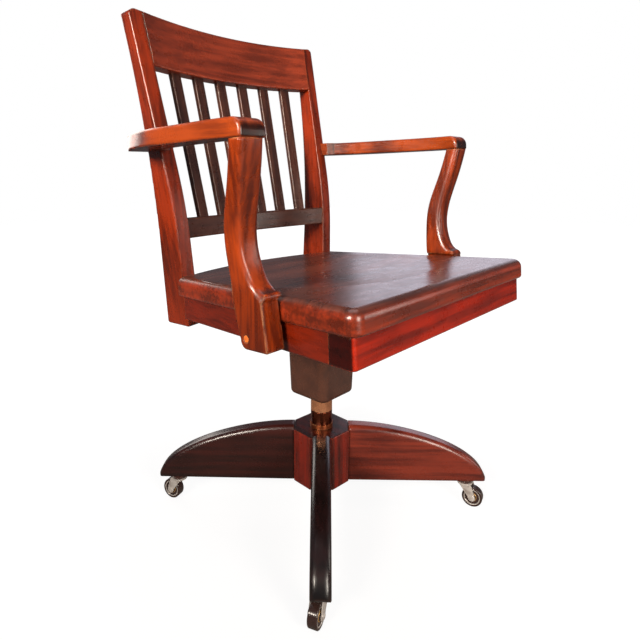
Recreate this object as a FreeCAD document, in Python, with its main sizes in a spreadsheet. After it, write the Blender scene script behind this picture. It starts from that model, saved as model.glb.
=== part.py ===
import FreeCAD, Part
import math
import os
import Sketcher

# A wooden bankers swivel chair: a saddled seat on a tilting, turning and height-adjusting column,
# four bracket-shaped legs on an octagonal hub, and four swivel casters.
# +Z is up, the sitter looks along -Y, and the floor under the swivel axis is the origin.
# Sizes are in millimetres and degrees. The seat and all above it are drawn in a seat frame whose
# origin is the middle of the tilt shaft, and which leans back with the seat.

doc = FreeCAD.newDocument("bankers_swivel_chair")
sheet = doc.addObject("Spreadsheet::Sheet", "Sizes")
size_names = []
made = {}


def size(name, value):
    """Write one driving size in the sheet under its own name and give its value back."""
    size_names.append(name)
    row = len(size_names)
    sheet.set(f"A{row}", name)
    sheet.set(f"B{row}", str(value))
    sheet.setAlias(f"B{row}", name)
    return float(value)


def vec(x, y, z=0.0):
    return FreeCAD.Vector(x, y, z)


def place(x=0.0, y=0.0, z=0.0, axis=(0, 0, 1), angle=0.0):
    return FreeCAD.Placement(vec(x, y, z), FreeCAD.Rotation(FreeCAD.Vector(*axis), angle))


def new_body(name, placement=None):
    body = doc.addObject("PartDesign::Body", name)
    body.Label = name
    if placement is not None:
        body.Placement = placement
    return body


def new_sketch(body, role, offset=0.0):
    """A sketch on one of the body's own origin planes, moved along the plane's normal."""
    sketch = body.newObject("Sketcher::SketchObject", body.Name + "_sketch")
    plane = [f for f in body.Origin.OriginFeatures if f.Role == role][0]
    sketch.AttachmentSupport = [(plane, "")]
    sketch.MapMode = "FlatFace"
    sketch.AttachmentOffset = place(z=offset)
    return sketch


def draw(sketch, start, *steps):
    """A closed outline. A step is an end point, an arc's two points, or a list of a smooth curve's points."""
    here = start
    for step in steps:
        if isinstance(step, list):
            curve = Part.BSplineCurve()
            curve.interpolate([vec(*point) for point in [here] + step])
            sketch.addGeometry(curve, False)
            here = step[-1]
        elif isinstance(step[0], tuple):
            arc = Part.Arc(vec(*here), vec(*step[0]), vec(*step[1]))
            sketch.addGeometry(arc, False)
            here = step[1]
        else:
            sketch.addGeometry(Part.LineSegment(vec(*here), vec(*step)), False)
            here = step
    if math.dist(here, start) > 1e-6:
        sketch.addGeometry(Part.LineSegment(vec(*here), vec(*start)), False)


def draw_circle(sketch, x, y, radius, radius_name=None):
    index = sketch.addGeometry(Part.Circle(vec(x, y), vec(0, 0, 1), radius), False)
    if radius_name:
        row = sketch.addConstraint(Sketcher.Constraint("Radius", index, radius))
        sketch.setExpression(f"Constraints[{row}]", f"Sizes.{radius_name}")
    return index


def pad(body, sketch, length, name=None, midplane=False, reverse=False):
    feature = body.newObject("PartDesign::Pad", body.Name + "_pad")
    feature.Profile = sketch
    feature.Length = length
    if name:
        feature.setExpression("Length", f"Sizes.{name}")
    if midplane:
        feature.SideType = "Symmetric"
    feature.Reversed = reverse
    body.Tip = feature
    return feature


def pocket(body, sketch, length, midplane=False, reverse=False):
    """Cut the sketch into the body, and stop if it removed nothing."""
    doc.recompute()
    before = body.Shape.Volume
    feature = body.newObject("PartDesign::Pocket", body.Name + "_pocket")
    feature.Profile = sketch
    feature.Length = length
    if midplane:
        feature.SideType = "Symmetric"
    feature.Reversed = reverse
    body.Tip = feature
    doc.recompute()
    if not body.Shape.Volume < before - 1e-3:
        raise RuntimeError(f"a pocket of {body.Label} cuts nothing")
    return feature


def revolve(body, sketch, axis="V_Axis"):
    feature = body.newObject("PartDesign::Revolution", body.Name + "_turned")
    feature.Profile = sketch
    feature.ReferenceAxis = (sketch, [axis])
    feature.Angle = 360
    body.Tip = feature
    return feature


def round_edges(body, radius, chosen, name=None):
    """Round the edges whose middle point answers to chosen, in the body's own frame."""
    doc.recompute()
    base = body.Tip
    names = []
    for number, edge in enumerate(base.Shape.Edges, 1):
        middle = edge.valueAt((edge.FirstParameter + edge.LastParameter) / 2)
        if chosen(middle, edge):
            names.append(f"Edge{number}")
    feature = body.newObject("PartDesign::Fillet", body.Name + "_fillet")
    feature.Base = (base, names)
    feature.Radius = radius
    if name:
        feature.setExpression("Radius", f"Sizes.{name}")
    body.Tip = feature
    doc.recompute()
    if not names or "Invalid" in feature.State:
        raise RuntimeError(f"edges of {body.Label} can't be rounded")
    return feature


def finish(thing, label=None):
    """Enter a finished piece in the list of nodes."""
    if label:
        thing.Label = label
    made[thing.Label] = thing
    return thing


def cut(label, base, *tools):
    """The piece that is left of base when the pieces it is housed round are taken out of it."""
    base.Label = label + "_blank"
    here = base
    for tool in tools:
        step = doc.addObject("Part::Cut", label + "_housed")
        step.Base = here
        step.Tool = tool
        here = step
    return finish(here, label)


def group(label, pieces):
    """Identical fasteners or blocks that share one node, as separate solids."""
    compound = doc.addObject("Part::Compound", label)
    compound.Links = pieces
    return finish(compound, label)


def rod(name, start, end, radius, frame=FreeCAD.Placement()):
    """A round bar between two points of a frame."""
    start = vec(*start)
    end = vec(*end)
    bar = doc.addObject("Part::Cylinder", name)
    bar.Radius = radius
    bar.Height = (end - start).Length
    turn = FreeCAD.Rotation(vec(0, 0, 1), end - start)
    bar.Placement = frame.multiply(FreeCAD.Placement(start, turn))
    return bar


def block(name, corner, far_corner, frame=FreeCAD.Placement()):
    box = doc.addObject("Part::Box", name)
    box.Length = far_corner[0] - corner[0]
    box.Width = far_corner[1] - corner[1]
    box.Height = far_corner[2] - corner[2]
    box.Placement = frame.multiply(place(*corner))
    return box


# Clearances that pairs of pieces share.
run_fit = size("running_fit", 0.05)
face_gap = size("face_gap", 0.3)
through = size("through_cut", 1000)

# The frame that the seat and all above it are drawn in.
pivot_height = size("pivot_height", 396.5)
seat_pitch = size("seat_pitch", 3.4)
seat_frame = place(z=pivot_height, axis=(1, 0, 0), angle=-seat_pitch)

# Sizes of the seat board and of the apron under it.
seat_front_half = size("seat_front_half_width", 258)
seat_back_half = size("seat_back_half_width", 213)
seat_front = size("seat_front", 282)
seat_thick = size("seat_thickness", 35)
seat_under = size("seat_underside", 32.5)
seat_bow = size("seat_back_bow", 32)
seat_lip = size("seat_back_lip", 17)
seat_corner = size("seat_corner_radius", 19)
seat_nose = size("seat_nose_radius", 14)
seat_soft = size("seat_lower_round", 6)
dish_depth = size("dish_depth", 9)
dish_half = size("dish_half_width", 205)
dish_length = size("dish_half_length", 175)
apron_high = size("apron_height", 43)
apron_front_half = size("apron_front_half_width", 250)
apron_front_at = size("apron_front", 272)
apron_front_thick = size("apron_front_thickness", 44)
apron_thick = size("apron_thickness", 22)
apron_corner = size("apron_corner_radius", 7)
apron_reach = size("apron_past_post", 4)
glue_block = size("glue_block", 34)
apron_edge = size("apron_edge_round", 3)
back_board_in = size("apron_back_set_in", 11)

# Sizes of the two back posts, which splay outwards and lean back above the arms.
post_front = size("post_front", 149)
post_half = size("post_inner_half", 177.2)
post_wide = size("post_width", 27)
post_splay = size("post_splay", 4.1)
post_lean = size("post_lean", 10.4)
post_low = size("post_foot", 92.5)
post_high = size("post_top", 547)
post_deep = size("post_foot_depth", 66)
post_waist = size("post_waist_depth", 59)
post_tip = size("post_top_depth", 30)
bend_from = size("post_bend_start", 60)
bend_to = size("post_bend_end", 190)
post_round = size("post_top_round", 13)
post_foot_round = size("post_foot_round", 5)
post_edge = size("post_edge_round", 3)
post_dip = size("post_top_dip", 2.2)

seat_top = seat_under + seat_thick
apron_low = seat_under - apron_high
splay_rise = math.tan(math.radians(post_splay))
lean_rise = math.tan(math.radians(post_lean))


def post_inner(level):
    """Half the width between the posts at a level of the seat frame."""
    return post_half + splay_rise * (level - seat_top)


def post_outer(level):
    return post_inner(level) + post_wide / math.cos(math.radians(post_splay))


def post_face(level):
    """Where the posts' front face is at a level of the seat frame, above the bend."""
    bend = (bend_from + bend_to) / 2 + seat_top
    return post_front + lean_rise * (level - bend)


def make_post(label, side):
    """Sawn to its side view. The top rises gently from the crest rail and is rounded over outside."""
    body = new_body(label, seat_frame.multiply(
        place(side * post_half, 0, seat_top, axis=(0, 1, 0), angle=side * post_splay)))
    rise = (post_high - seat_top) / math.cos(math.radians(post_splay))
    bend_level = (bend_from + bend_to) / 2
    top_face = post_front + lean_rise * (rise - bend_level)
    bend_out = post_front + lean_rise * (bend_to - bend_level)
    bend_middle = post_front + (bend_out - post_front) / 4
    waist = post_front + post_waist
    middle_level = (bend_to + rise) / 2
    middle_back = waist + (top_face + post_tip - waist) * 0.34
    spare = 6
    sketch = new_sketch(body, "YZ_Plane")
    draw(sketch, (post_front, -post_low), (post_front, bend_from),
         ((bend_middle, bend_level), (bend_out, bend_to)),
         (top_face + lean_rise * spare, rise + spare),
         (top_face + lean_rise * spare + post_tip, rise + spare),
         (top_face + post_tip, rise),
         ((middle_back, middle_level), (waist, bend_from)), (post_front + post_deep, -post_low))
    pad(body, sketch, post_wide, "post_width", reverse=side < 0)
    round_edges(body, post_edge, lambda m, e: e.Length > post_deep + spare and abs(m.x) > 1,
                "post_edge_round")
    # The outer end of the top is level in the seat frame, so it slopes in the frame of the splayed post.
    slope = math.tan(math.radians(post_splay))
    outer = side * post_wide
    r = post_round
    knee = r * (1 - math.sqrt(0.5))
    outer_rise = rise + slope * post_wide
    top = new_sketch(body, "XZ_Plane")
    draw(top, (-side, rise - slope - post_dip), (outer - side * r, outer_rise - slope * r),
         ((outer - side * knee, outer_rise - knee), (outer, outer_rise - r)),
         (outer + side, outer_rise - r), (outer + side, rise + 4 * r), (-side, rise + 4 * r))
    pocket(body, top, through, midplane=True)
    round_edges(body, post_foot_round, lambda m, e: abs(m.z + post_low) < 0.5, "post_foot_round")
    return body


# The seat board is glued up, scooped for the sitter and bull-nosed. Its back corners are notched
# round the posts, and it rests on the apron.
def make_seat():
    body = new_body("seat", seat_frame)
    sketch = new_sketch(body, "XY_Plane", seat_under)
    back = post_front - face_gap
    inner = post_inner(seat_under) - face_gap
    lip = post_front + seat_lip
    swell = lip + seat_bow
    r = seat_corner
    slope = (seat_front_half - seat_back_half) / (back + seat_front)
    knee = 1 - math.sqrt(0.5)
    front_x = seat_front_half - r - slope * r / 2
    side_x = seat_front_half - slope * r
    draw(sketch, (-front_x, -seat_front), (front_x, -seat_front),
         ((side_x - r * knee, -seat_front + r * knee), (side_x, -seat_front + r)),
         (seat_back_half, back), (inner, back), (inner, lip),
         ((0, swell), (-inner, lip)), (-inner, back), (-seat_back_half, back),
         (-side_x, -seat_front + r),
         ((-side_x + r * knee, -seat_front + r * knee), (-front_x, -seat_front)))
    pad(body, sketch, seat_thick, "seat_thickness")
    doc.recompute()
    bowl = body.newObject("PartDesign::SubtractiveEllipsoid", "seat_dish")
    height = 60
    share = math.sqrt(1 - ((height - dish_depth) / height) ** 2)
    bowl.Radius1 = height
    bowl.Radius2 = dish_half / share
    bowl.Radius3 = dish_length / share
    bowl.Placement = place(0, -seat_front / 4 + post_front / 4, seat_top + height - dish_depth)
    body.Tip = bowl
    outside = lambda m: m.y < back - 1 and (abs(m.x) > seat_back_half - 2 or m.y < -seat_front + r + 1)
    round_edges(body, seat_nose, lambda m, e: abs(m.z - seat_top) < 0.1 and (outside(m) or m.y > lip + 3),
                "seat_nose_radius")
    round_edges(body, seat_soft, lambda m, e: abs(m.z - seat_under) < 0.1 and outside(m),
                "seat_lower_round")
    return body


def apron_side(y):
    """Half the apron's outer width at a distance from the tilt shaft."""
    end_half = post_outer(apron_low) + apron_reach
    share = (y + apron_front_at) / (post_front + apron_front_at)
    return apron_front_half + (end_half - apron_front_half) * share


# The apron is a box of four boards: a thick front board whose end grain shows at the sides, two
# side boards that close in towards the posts, and a back board between the posts.
def make_apron(posts):
    joint = apron_front_thick - apron_front_at
    body = new_body("apron_front", seat_frame)
    sketch = new_sketch(body, "XY_Plane", apron_low)
    draw(sketch, (-apron_side(-apron_front_at), -apron_front_at),
         (apron_side(-apron_front_at), -apron_front_at), (apron_side(joint), joint),
         (-apron_side(joint), joint))
    pad(body, sketch, apron_high, "apron_height")
    round_edges(body, apron_corner,
                lambda m, e: abs(m.y + apron_front_at) < 1 and abs(m.x) > apron_front_half - 5
                and e.Length > apron_high - 1, "apron_corner_radius")
    round_edges(body, apron_edge, lambda m, e: abs(m.z - apron_low) < 0.1 and m.y < joint - 2,
                "apron_edge_round")
    finish(body)
    sides = []
    for label, side in (("apron_right", -1), ("apron_left", 1)):
        body = new_body(label, seat_frame)
        sketch = new_sketch(body, "XY_Plane", apron_low)
        end = post_front - face_gap
        draw(sketch, (side * apron_side(joint), joint), (side * apron_side(end), end),
             (side * (apron_side(end) - apron_thick), end), (side * (apron_side(joint) - apron_thick), joint))
        pad(body, sketch, apron_high, "apron_height")
        middle = (apron_side(end) + apron_side(joint)) / 2
        round_edges(body, apron_edge,
                    lambda m, e: abs(m.z - apron_low) < 0.1 and abs(abs(m.x) - middle) < 1, "apron_edge_round")
        sides.append(body)
    body = new_body("apron_back", seat_frame)
    sketch = new_sketch(body, "XY_Plane", apron_low)
    near = post_front + back_board_in
    wide = post_inner(seat_under) + post_wide / 2
    draw(sketch, (-wide, near), (wide, near), (wide, near + apron_thick), (-wide, near + apron_thick))
    pad(body, sketch, apron_high, "apron_height")
    cut("apron_back", body, *posts)
    blocks = []
    for side in (-1, 1):
        for name, y, turn in (("front", joint, 1), ("back", post_front + back_board_in, -1)):
            block_body = new_body(f"glue_block_{name}_{side}", seat_frame)
            block_sketch = new_sketch(block_body, "XY_Plane", apron_low + 4)
            x = side * (apron_side(min(y, post_front)) - apron_thick - 0.2)
            if name == "back":
                x = side * (post_inner(apron_low) - face_gap)
            slant = (apron_side(-apron_front_at) - apron_side(0)) / apron_front_at * glue_block
            foot = x - side * (slant if name == "front" else 0)
            draw(block_sketch, (x, y), (foot, y + turn * glue_block), (x - side * glue_block, y))
            pad(block_body, block_sketch, apron_high - 4)
            blocks.append(block_body)
    group("corner_blocks", blocks)
    return sides


# The crest rail and the lower rail are sawn to a shallow curve, and the six slats are let into both.
back_bow = size("back_bow", 24)
crest_low = size("crest_underside", 447)
crest_high = size("crest_height", 99.6)
crest_thick = size("crest_thickness", 22)
crest_edge = size("crest_edge_round", 2.5)
rail_low = size("lower_rail_underside", 134)
rail_high = size("lower_rail_height", 37)
rail_thick = size("lower_rail_thickness", 20)
rail_back = size("lower_rail_set_back", 2)
slat_wide = size("slat_width", 23)
slat_thick = size("slat_thickness", 10)
slat_back = size("slat_set_back", 10.5)
slat_count = size("slat_count", 6)
slat_step_top = size("slat_step_at_crest", 58.1)
slat_step_low = size("slat_step_at_rail", 52.4)
slat_in = size("slat_tenon", 8)
slat_edge = size("slat_edge_round", 1.5)

bow_radius = (post_inner(crest_low) ** 2 + back_bow ** 2) / (2 * back_bow)


def bow(x, half):
    """How far the curve of the back lies behind its ends at a distance from the middle."""
    return math.sqrt(bow_radius ** 2 - x * x) - math.sqrt(bow_radius ** 2 - half * half)


def make_curved_rail(label, frame, half_low, half_high, high, thick, high_name):
    """A curved board between the posts: sawn to the curve, then its ends cut to the posts' splay."""
    body = new_body(label, frame)
    sketch = new_sketch(body, "XY_Plane")
    long = half_high + 4
    # The board leans and the posts splay, so its back edge needs a little more room than its front edge.
    end_gap = face_gap / 3 + thick * math.sin(math.radians(post_lean)) * splay_rise
    # The back of the board has the same centre as its front.
    outer = math.sqrt((bow_radius + thick) ** 2 - long ** 2) - math.sqrt(bow_radius ** 2 - half_low ** 2)
    draw(sketch, (-long, bow(long, half_low)), ((0, bow(0, half_low)), (long, bow(long, half_low))),
         (long, outer), ((0, bow(0, half_low) + thick), (-long, outer)))
    pad(body, sketch, high, high_name)
    for side in (-1, 1):
        trim = new_sketch(body, "XZ_Plane")
        draw(trim, (side * (half_low - end_gap), 0), (side * (half_high - end_gap), high),
             (side * (long + 5), high + 1), (side * (long + 5), -1), (side * (half_low - end_gap), -1))
        pocket(body, trim, through, midplane=True)
    round_edges(body, crest_edge, lambda m, e: e.Length > half_low, "crest_edge_round")
    return body


def make_back():
    crest_place = place(0, post_face(crest_low), crest_low, axis=(1, 0, 0), angle=-post_lean)
    lean_frame = seat_frame.multiply(crest_place)
    crest_top = crest_low + crest_high * math.cos(math.radians(post_lean))
    crest = make_curved_rail("crest_rail", lean_frame, post_inner(crest_low), post_inner(crest_top),
                             crest_high, crest_thick, "crest_height")
    rail_frame = seat_frame.multiply(place(0, post_front + rail_back, rail_low))
    rail = make_curved_rail("lower_rail", rail_frame, post_inner(rail_low), post_inner(rail_low + rail_high),
                            rail_high, rail_thick, "lower_rail_height")
    slats = []
    count = int(slat_count)
    for number in range(count):
        step = number - (count - 1) / 2
        low_x = step * slat_step_low
        top_x = step * slat_step_top
        low = vec(low_x, post_front + rail_back + bow(low_x, post_inner(rail_low)) + slat_back - 1,
                  rail_low + rail_high - slat_in)
        top_level = crest_low + slat_in
        top = vec(top_x, post_face(top_level) + bow(top_x, post_inner(crest_low)) + slat_back, top_level)
        upright = (top - low).normalize()
        across = vec(math.cos(top_x / bow_radius), -math.sin(top_x / bow_radius), 0)
        turn = FreeCAD.Rotation(across, upright.cross(across), upright, "ZXY")
        body = new_body(f"slat_{number + 1}", seat_frame.multiply(FreeCAD.Placement(low, turn)))
        sketch = new_sketch(body, "XY_Plane")
        draw(sketch, (-slat_wide / 2, 0), (slat_wide / 2, 0), (slat_wide / 2, slat_thick),
             (-slat_wide / 2, slat_thick))
        pad(body, sketch, (top - low).Length)
        round_edges(body, slat_edge, lambda m, e: e.Length > slat_wide + 1, "slat_edge_round")
        slats.append(finish(body))
    cut("crest_rail", crest, *slats)
    cut("lower_rail", rail, *slats)


# Each arm is sawn from a plank: it bows outwards and comes back to the outside of its post.
# It is dowelled to the top of a sawn support whose foot is screwed to the apron under a wood plug.
arm_under = size("arm_underside", 282)
arm_front = size("arm_front", 148.5)
arm_rise = size("arm_rise", 1.9)
arm_thick = size("arm_thickness", 26.5)
arm_wide = size("arm_width", 48)
arm_swell = size("arm_swell", 3.5)
arm_tail = size("arm_tail_beyond_post", 35)
arm_end = size("arm_back_end", 222)
arm_nose = size("arm_nose_radius", 18)
arm_edge = size("arm_edge_round", 5)
arm_soft = size("arm_lower_round", 3)
arm_beyond = size("arm_beyond_foot", 26.6)
support_wide = size("support_foot_width", 36.8)
spacer_thick = size("foot_spacer_thickness", 14.4)
foot_thick = size("support_foot_thickness", 32.2)
foot_low = size("support_foot_end", -2)
support_top_wide = size("support_top_width", 43)
support_waist = size("support_waist", 31)
support_top = size("support_top_depth", 25.5)
waist_at = size("support_waist_level", 140)
waist_front = size("support_waist_front", 112.5)
nose_level = size("support_nose_level", 77)
nose_front = size("support_nose_front", 138.5)
support_round = size("support_front_round", 8)
support_soft = size("support_back_round", 3.5)
foot_front = size("support_foot_front", 149)
foot_back = size("support_foot_back", 97)
foot_gap = size("support_foot_gap", 3)
plug_radius = size("plug_radius", 5)
plug_level = size("plug_level", 12.6)
plug_at = size("plug_from_front", 108)
screw_radius = size("foot_screw_radius", 2.5)
screw_head_high = size("screw_head_height", 4)
dowel_radius = size("dowel_radius", 4)
dowel_in = size("dowel_half_length", 14)
dowel_apart = size("arm_dowels_apart", 18)
plug_in = size("plug_depth", 6)

# The foot stands on a spacer on the apron's side, and the arm reaches out past the foot.
foot_inner = apron_side(-plug_at) + spacer_thick
foot_outer = foot_inner + foot_thick
arm_outer = foot_outer + arm_beyond
arm_return = arm_outer - post_outer(arm_under) - arm_tail


def make_arm(label, side):
    frame = seat_frame.multiply(place(0, -arm_front, arm_under, axis=(1, 0, 0), angle=arm_rise))
    body = new_body(label, frame)
    sketch = new_sketch(body, "XY_Plane")
    shift = arm_front
    end_x = post_outer(arm_under) - post_wide / 3
    long = arm_end + shift
    inner = arm_outer - arm_wide
    corner = arm_outer - arm_return
    outer_curve = [(0.16, arm_swell), (0.41, 0), (0.575, -0.06 * arm_return), (0.74, -0.28 * arm_return),
                   (0.88, -0.62 * arm_return), (0.975, -0.97 * arm_return)]
    inner_curve = [(0.59, -0.22 * arm_return), (0.38, 0), (0.18, 1.7 * arm_swell), (0, 0)]
    draw(sketch, (side * arm_outer, 0),
         [(side * (arm_outer + out), long * share) for share, out in outer_curve],
         ((side * (corner - 2), long - 3), (side * (corner - 9), long)), (side * end_x, long),
         (side * end_x, post_front + shift + 4), (side * (inner - 0.6 * arm_return), long * 0.79),
         [(side * (inner + out), long * share) for share, out in inner_curve])
    pad(body, sketch, arm_thick, "arm_thickness")
    # The front end is rounded over to the top, and then the edges round it are eased.
    knee = arm_nose * (1 - math.sqrt(0.5))
    nose = new_sketch(body, "YZ_Plane")
    draw(nose, (-1, arm_thick - arm_nose), (0, arm_thick - arm_nose),
         ((knee, arm_thick - knee), (arm_nose, arm_thick)), (arm_nose, arm_thick + 1), (-1, arm_thick + 1))
    pocket(body, nose, through, midplane=True)
    round_edges(body, arm_edge, eased_arm_edge, "arm_edge_round")
    round_edges(body, arm_soft, lambda m, e: abs(m.z) < 0.1 and e.Length > arm_end, "arm_lower_round")
    return body


def eased_arm_edge(middle, edge):
    """The arm's long upper edges, and the edges up its front end."""
    long_edge = abs(middle.z - arm_thick) < 0.1 and edge.Length > (arm_end + arm_front) / 2
    end_edge = middle.z > 1 and middle.y < arm_nose and edge.Length < arm_wide * 0.75
    return long_edge or end_edge


def make_support(label, side):
    body = new_body(label, seat_frame)
    sketch = new_sketch(body, "YZ_Plane")
    level = arm_under - face_gap / 3
    rise = level - waist_at
    waist_back = support_waist - waist_front
    top_back = support_top - arm_front
    sweep = ((1, 1), (0.83, 0.84), (0.57, 0.54), (0.25, 0.14), (0, 0))
    hollow = ((0.29, 0.06), (0.59, 0.25), (0.83, 0.52), (1, 1))
    heel = ((0.8, 0.5), (0.45, 0.06), (0.19, -0.02))
    front = [(-waist_front - (arm_front - waist_front) * out, waist_at + rise * up) for up, out in sweep]
    front += [(-waist_front - (nose_front - waist_front) * out, waist_at - (waist_at - nose_level) * down)
              for down, out in hollow]
    heel_level = foot_low + 13
    back = [(waist_back - (waist_back + foot_back) * out, waist_at - (waist_at - heel_level) * down)
            for down, out in heel]
    back += [(waist_back - (waist_back - top_back) * out, waist_at + rise * up)
             for up, out in reversed(sweep)]
    draw(sketch, front[0], front[1:],
         ((-nose_front - 5, nose_level - 5), (-nose_front - 3, nose_level - 12)),
         (-foot_front, foot_low), (-foot_back - 11, foot_low),
         ((-foot_back - 3, foot_low + 4), (-foot_back, heel_level)), back)
    spare = 10
    base = foot_outer - support_wide - spare
    blank = arm_outer + spare - base
    pad(body, sketch, blank, reverse=side < 0)
    flare = (arm_outer - foot_outer) / (arm_under - nose_level)
    inner_flare = (arm_outer - support_top_wide - foot_outer + support_wide) / (arm_under - nose_level)
    body.Placement = seat_frame.multiply(place(side * base))
    trim = new_sketch(body, "XZ_Plane")
    draw(trim, (side * (foot_outer - base), foot_low - 5), (side * (foot_outer - base), nose_level),
         (side * (foot_outer + flare * (arm_under + 5 - nose_level) - base), arm_under + 5),
         (side * (blank + spare), arm_under + 5), (side * (blank + spare), foot_low - 5))
    pocket(body, trim, through, midplane=True)
    inner = foot_outer - support_wide
    edge = seat_edge(-foot_front) + foot_gap
    bench = seat_under - 2
    trim = new_sketch(body, "XZ_Plane")
    draw(trim, (side * (foot_inner - base), foot_low - 5), (side * (foot_inner - base), bench),
         (side * (edge - base), bench), (side * (edge - base), seat_top + 2),
         (side * (inner - base), seat_top + 2), (side * (inner - base), nose_level),
         (side * (inner + inner_flare * (arm_under + 5 - nose_level) - base), arm_under + 5),
         (-side * spare, arm_under + 5), (-side * spare, foot_low - 5))
    pocket(body, trim, through, midplane=True)
    waist_middle = (support_waist / 2) - waist_front
    long = rise * 0.9
    round_edges(body, support_round, lambda m, e: e.Length > long and m.y < waist_middle,
                "support_front_round")
    round_edges(body, support_soft, lambda m, e: e.Length > long and m.y > waist_middle,
                "support_back_round")
    return body


def seat_edge(y):
    """Half the seat board's width at a distance from the tilt shaft."""
    share = (y + seat_front) / (post_front - face_gap + seat_front)
    return seat_front_half + (seat_back_half - seat_front_half) * share


def make_arms(posts, sides):
    plugs = []
    screws = []
    spacers = []
    dowels = []
    for name, side, post, apron in (("right", -1, posts[0], sides[0]), ("left", 1, posts[1], sides[1])):
        arm = make_arm("arm_" + name, side)
        support = make_support("arm_support_" + name, side)
        plug = rod(f"plug_{name}", (side * (foot_outer - plug_in), -plug_at, plug_level),
                   (side * foot_outer, -plug_at, plug_level), plug_radius, seat_frame)
        screw_end = apron_side(-plug_at) - apron_thick + 3
        head_at = foot_outer - plug_in - screw_head_high
        shank = rod(f"shank_{name}", (side * screw_end, -plug_at, plug_level),
                    (side * head_at, -plug_at, plug_level), screw_radius, seat_frame)
        top = rod(f"head_{name}", (side * head_at, -plug_at, plug_level),
                  (side * (foot_outer - plug_in - run_fit), -plug_at, plug_level),
                  plug_radius - 2 * run_fit, seat_frame)
        screw = doc.addObject("Part::Fuse", f"foot_screw_{name}")
        screw.Base = shank
        screw.Tool = top
        spacer_from = apron_side(-plug_at) - apron_thick / 2
        spacer_to = foot_inner
        low = (min(side * spacer_from, side * spacer_to), -plug_at - 10, foot_low)
        high = (max(side * spacer_from, side * spacer_to), -plug_at + 14, seat_under - 3)
        spacer = block(f"spacer_{name}", low, high, seat_frame)
        spacer_cut = doc.addObject("Part::Cut", f"foot_spacer_{name}")
        spacer_cut.Base = spacer
        spacer_cut.Tool = apron
        spacer_bored = doc.addObject("Part::Cut", f"foot_spacer_bored_{name}")
        spacer_bored.Base = spacer_cut
        spacer_bored.Tool = screw
        middle = arm_outer - support_top_wide / 2
        pegs = []
        for number, way in enumerate((-1, 1)):
            x = side * (middle + way * dowel_apart / 2)
            y = -arm_front + support_top / 2 + 2
            pegs.append(rod(f"arm_dowel_{name}_{number}", (x, y, arm_under - dowel_in),
                            (x, y, arm_under + dowel_in), dowel_radius, seat_frame))
        tail_level = arm_under + arm_thick / 2 + (arm_front + post_front) * math.tan(math.radians(arm_rise))
        peg_y = post_front + post_waist / 2
        tail_peg = rod(f"post_dowel_{name}", (side * (post_outer(tail_level) - dowel_in), peg_y, tail_level),
                       (side * (post_outer(tail_level) + dowel_in), peg_y, tail_level),
                       dowel_radius, seat_frame)
        cut("back_post_" + name, post, tail_peg)
        cut("apron_" + name, apron, screw)
        pegs.append(tail_peg)
        cut("arm_" + name, arm, post, *pegs)
        cut("arm_support_" + name, support, plug, screw, *pegs)
        plugs.append(plug)
        screws.append(screw)
        spacers.append(spacer_bored)
        dowels += pegs
    group("wood_plugs", plugs)
    group("foot_screws", screws)
    group("foot_spacers", spacers)
    group("arm_dowels", dowels)


# The steel seat plate is screwed under the seat. Its two ears hang on the tilt shaft.
shaft_radius = size("tilt_shaft_radius", 6)
plate_thick = size("seat_plate_thickness", 4)
plate_half = size("seat_plate_half_width", 80)
plate_long = size("seat_plate_half_length", 95)
ear_thick = size("ear_thickness", 5)
ear_inner = size("ear_inner_half", 58)
ear_round = size("ear_radius", 14)
plate_screw_radius = size("plate_screw_radius", 3)
plate_screw_in = size("plate_screw_in_seat", 14)
plate_corner = size("seat_plate_corner", 15)

plate_top = seat_under - face_gap / 3
plate_under = plate_top - plate_thick


def make_seat_plate():
    body = new_body("seat_plate", seat_frame)
    sketch = new_sketch(body, "XY_Plane", plate_under)
    draw(sketch, (-plate_half, -plate_long), (plate_half, -plate_long), (plate_half, plate_long),
         (-plate_half, plate_long))
    pad(body, sketch, plate_thick, "seat_plate_thickness")
    round_edges(body, plate_corner,
                lambda m, e: abs(abs(m.x) - plate_half) < 0.1 and abs(abs(m.y) - plate_long) < 0.1)
    for side in (-1, 1):
        ear = new_sketch(body, "YZ_Plane", side * ear_inner)
        wide = ear_round * 2.2
        draw(ear, (-ear_round, 0), ((0, -ear_round), (ear_round, 0)), (wide, plate_under + 1),
             (-wide, plate_under + 1))
        pad(body, ear, ear_thick, "ear_thickness", reverse=side < 0)
    hole = new_sketch(body, "YZ_Plane")
    draw_circle(hole, 0, 0, shaft_radius + run_fit)
    pocket(body, hole, through, midplane=True)
    holes = new_sketch(body, "XY_Plane", plate_top)
    spots = [(x * (plate_half - plate_corner), y * (plate_long - plate_corner))
             for x in (-1, 0, 1) for y in (-1, 1)]
    for x, y in spots:
        draw_circle(holes, x, y, plate_screw_radius + run_fit)
    pocket(body, holes, plate_thick + 1)
    finish(body)
    screws = []
    for number, (x, y) in enumerate(spots):
        shank = rod(f"plate_shank_{number}", (x, y, plate_under), (x, y, seat_under + plate_screw_in),
                    plate_screw_radius, seat_frame)
        head = rod(f"plate_head_{number}", (x, y, plate_under - screw_head_high), (x, y, plate_under),
                   2 * plate_screw_radius, seat_frame)
        screw = doc.addObject("Part::Fuse", f"plate_screw_{number}")
        screw.Base = shank
        screw.Tool = head
        screws.append(screw)
    return group("plate_screws", screws)


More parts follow.
